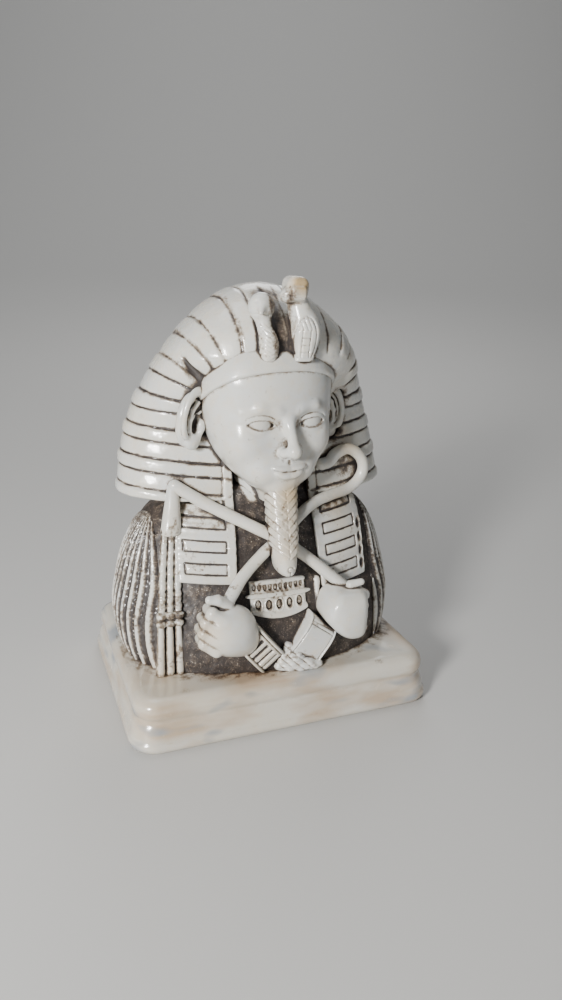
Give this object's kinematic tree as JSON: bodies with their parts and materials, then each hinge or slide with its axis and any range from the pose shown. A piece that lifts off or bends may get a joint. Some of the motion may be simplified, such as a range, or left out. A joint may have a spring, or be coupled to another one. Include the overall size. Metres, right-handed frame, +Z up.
{
  "type": "pharaoh desk bust",
  "caption": "Ivory-coloured cast bust of a pharaoh in a striped headcloth, with plaited beard, crossed crook and flail, on a stepped rectangular plinth.",
  "frame": {"origin": "centre of the plinth's outline, on the table, at the underside of the felt pad", "axes": "+Z up; the figure looks along -Y; the figure's own left hand is at +X"},
  "size_m": [0.1, 0.0772, 0.135],
  "materials": {
    "felt": "matte felt",
    "plinth_resin": "polished, faintly mottled with pink beige and grey blue",
    "chest_resin": "glossy ivory, stippled and stained brown in the ground",
    "cloth_resin": "glossy ivory with a brown wash in the grooves",
    "skin_resin": "glossy ivory, smooth",
    "regalia_resin": "glossy ivory with a brown wash in the carved lines"
  },
  "bodies": {
    "root": {"felt_pad": "felt", "plinth": "plinth_resin", "torso": "chest_resin", "sleeve_left": "cloth_resin", "sleeve_right": "cloth_resin", "lappet_left": "cloth_resin", "lappet_right": "cloth_resin", "nemes_hood": "cloth_resin", "nemes_queue": "cloth_resin", "brow_band": "cloth_resin", "head": "skin_resin", "ear_left": "skin_resin", "ear_right": "skin_resin", "neck": "skin_resin", "fist_left": "skin_resin", "fist_right": "skin_resin", "cobra": "regalia_resin", "vulture": "regalia_resin", "beard": "regalia_resin", "beard_tip": "regalia_resin", "collar": "regalia_resin", "collar_beads": "regalia_resin", "crook": "regalia_resin", "flail_handle": "regalia_resin", "flail_ferrule": "regalia_resin", "flail_strands": "regalia_resin", "flail_tie": "regalia_resin", "flail_pendants": "regalia_resin", "cuff_left": "regalia_resin", "cuff_right": "regalia_resin"}
  },
  "joints": []
}
